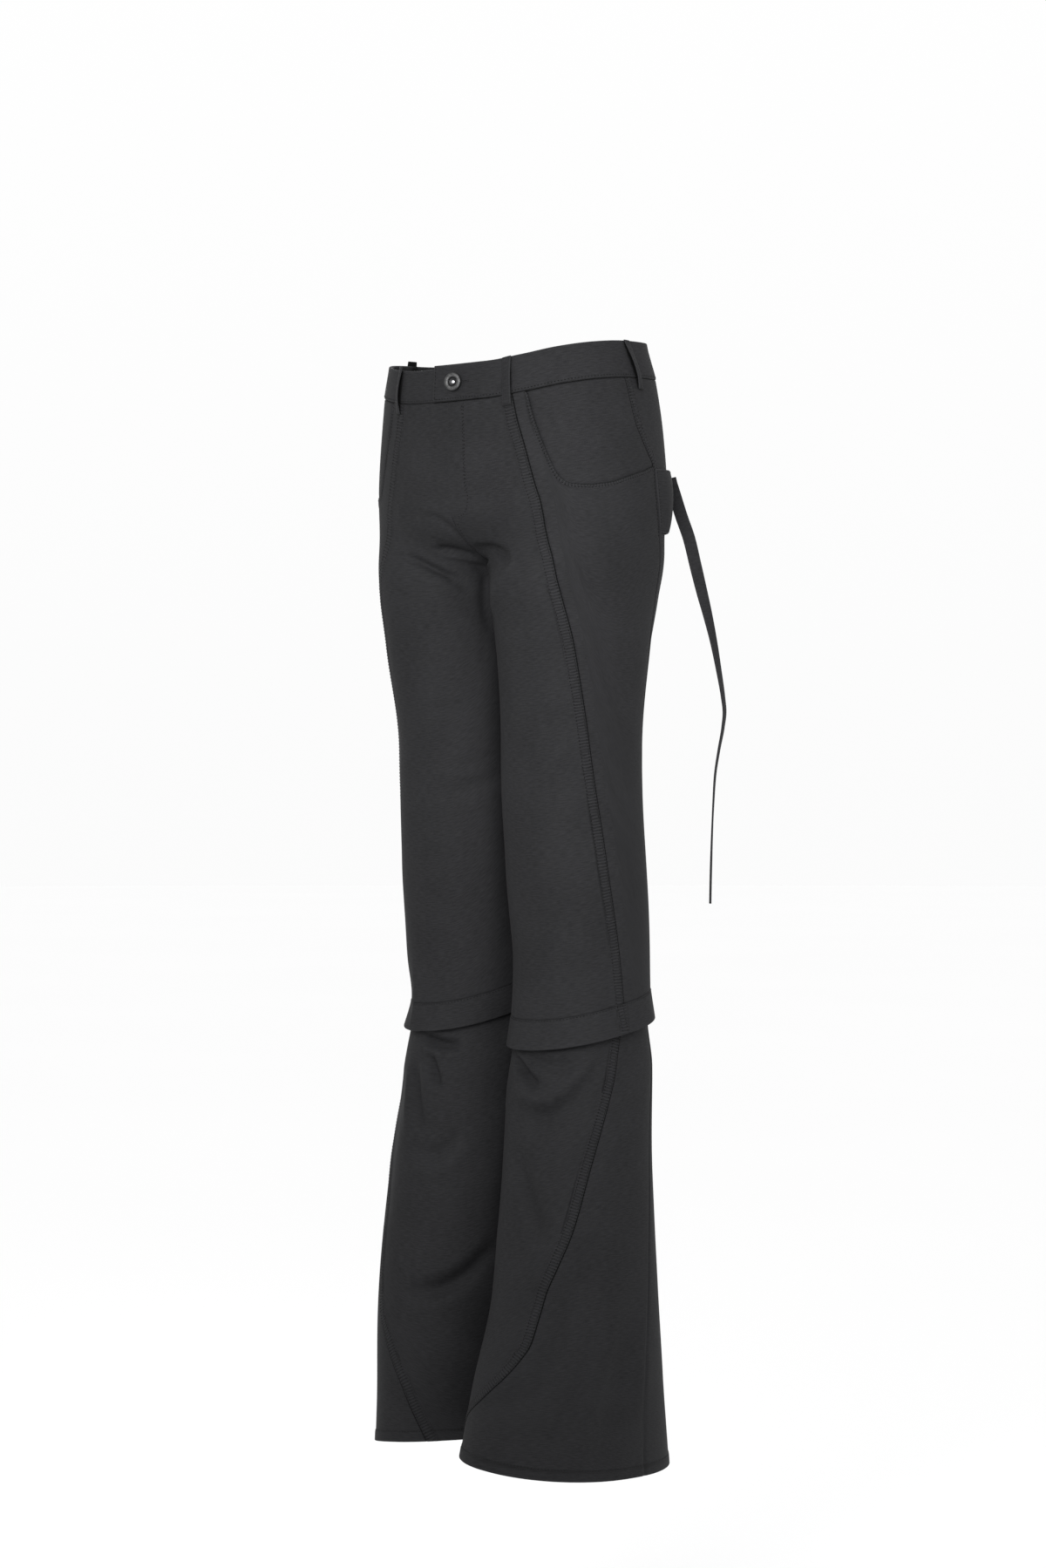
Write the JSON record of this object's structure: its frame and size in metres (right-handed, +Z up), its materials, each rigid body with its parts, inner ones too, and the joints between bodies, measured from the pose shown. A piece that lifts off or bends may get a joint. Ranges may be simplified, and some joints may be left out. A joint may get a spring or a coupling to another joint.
{
  "type": "convertible trousers",
  "caption": "Low-rise flared convertible trousers in charcoal twill, worn form, with zip-off lower legs under a turned knee hem and a loose hip tie.",
  "frame": {"origin": "middle of the waistband ring at half its height, where the wearer's waist holds the garment up", "axes": "+Z up, -Y the wearer's front, +X the wearer's left"},
  "size_m": [0.3084, 0.2977, 1.0596],
  "materials": {
    "cloth": "matte charcoal twill with a fine slub",
    "thread": "tonal sewing thread",
    "button_metal": "dark gunmetal, satin",
    "zip_tape": "woven tape"
  },
  "bodies": {
    "root": {"waistband": "cloth", "waist_button": "button_metal", "hip_tie": "cloth", "belt_loop_front_left": "cloth", "belt_loop_front_right": "cloth", "belt_loop_side_left": "cloth", "belt_loop_side_right": "cloth", "belt_loop_back": "cloth", "front_left": "cloth", "side_left": "cloth", "pocket_facing_left": "cloth", "back_left": "cloth", "gusset_left": "cloth", "knee_hem_left": "cloth", "knee_zip_left": "zip_tape", "lower_shin_left": "cloth", "lower_calf_left": "cloth", "front_right": "cloth", "side_right": "cloth", "pocket_facing_right": "cloth", "back_right": "cloth", "gusset_right": "cloth", "knee_hem_right": "cloth", "knee_zip_right": "zip_tape", "lower_shin_right": "cloth", "lower_calf_right": "cloth"}
  },
  "joints": []
}
